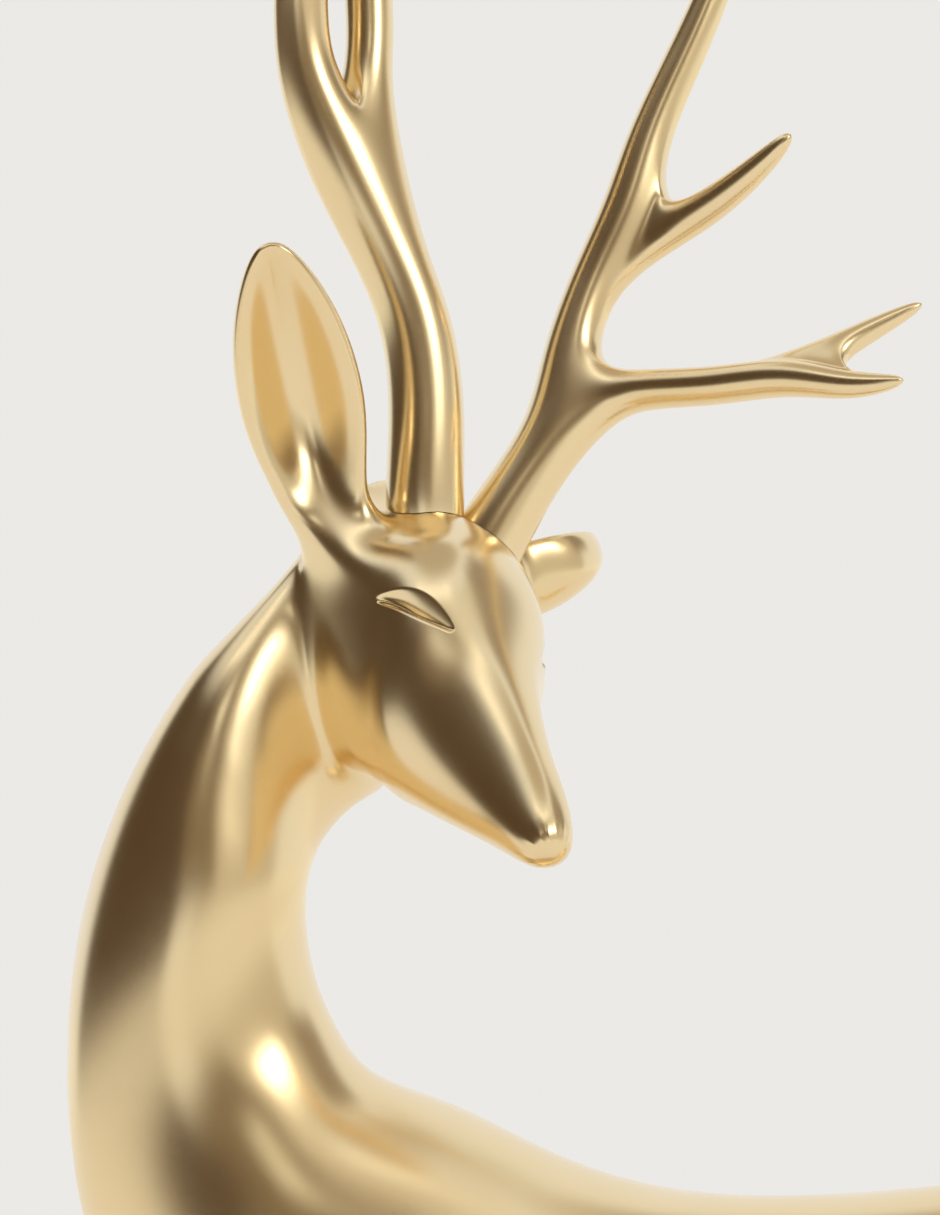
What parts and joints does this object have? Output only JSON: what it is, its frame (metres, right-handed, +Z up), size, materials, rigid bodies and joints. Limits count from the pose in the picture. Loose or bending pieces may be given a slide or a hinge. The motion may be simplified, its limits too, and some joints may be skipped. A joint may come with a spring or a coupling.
{
  "type": "reindeer figurine",
  "caption": "Standing reindeer in satin gold that looks back over its shoulder, with branched antlers, on a low oval base.",
  "frame": {"origin": "middle of the base's underside, at the level that it stands on", "axes": "+Z up, -X the way the chest faces, -Y the side to which the head is turned"},
  "size_m": [0.2852, 0.1082, 0.5309],
  "materials": {
    "gold": "satin champagne gold, polished smooth"
  },
  "bodies": {
    "root": {"body": "gold", "right_antler": "gold", "left_antler": "gold", "base": "gold"}
  },
  "joints": []
}
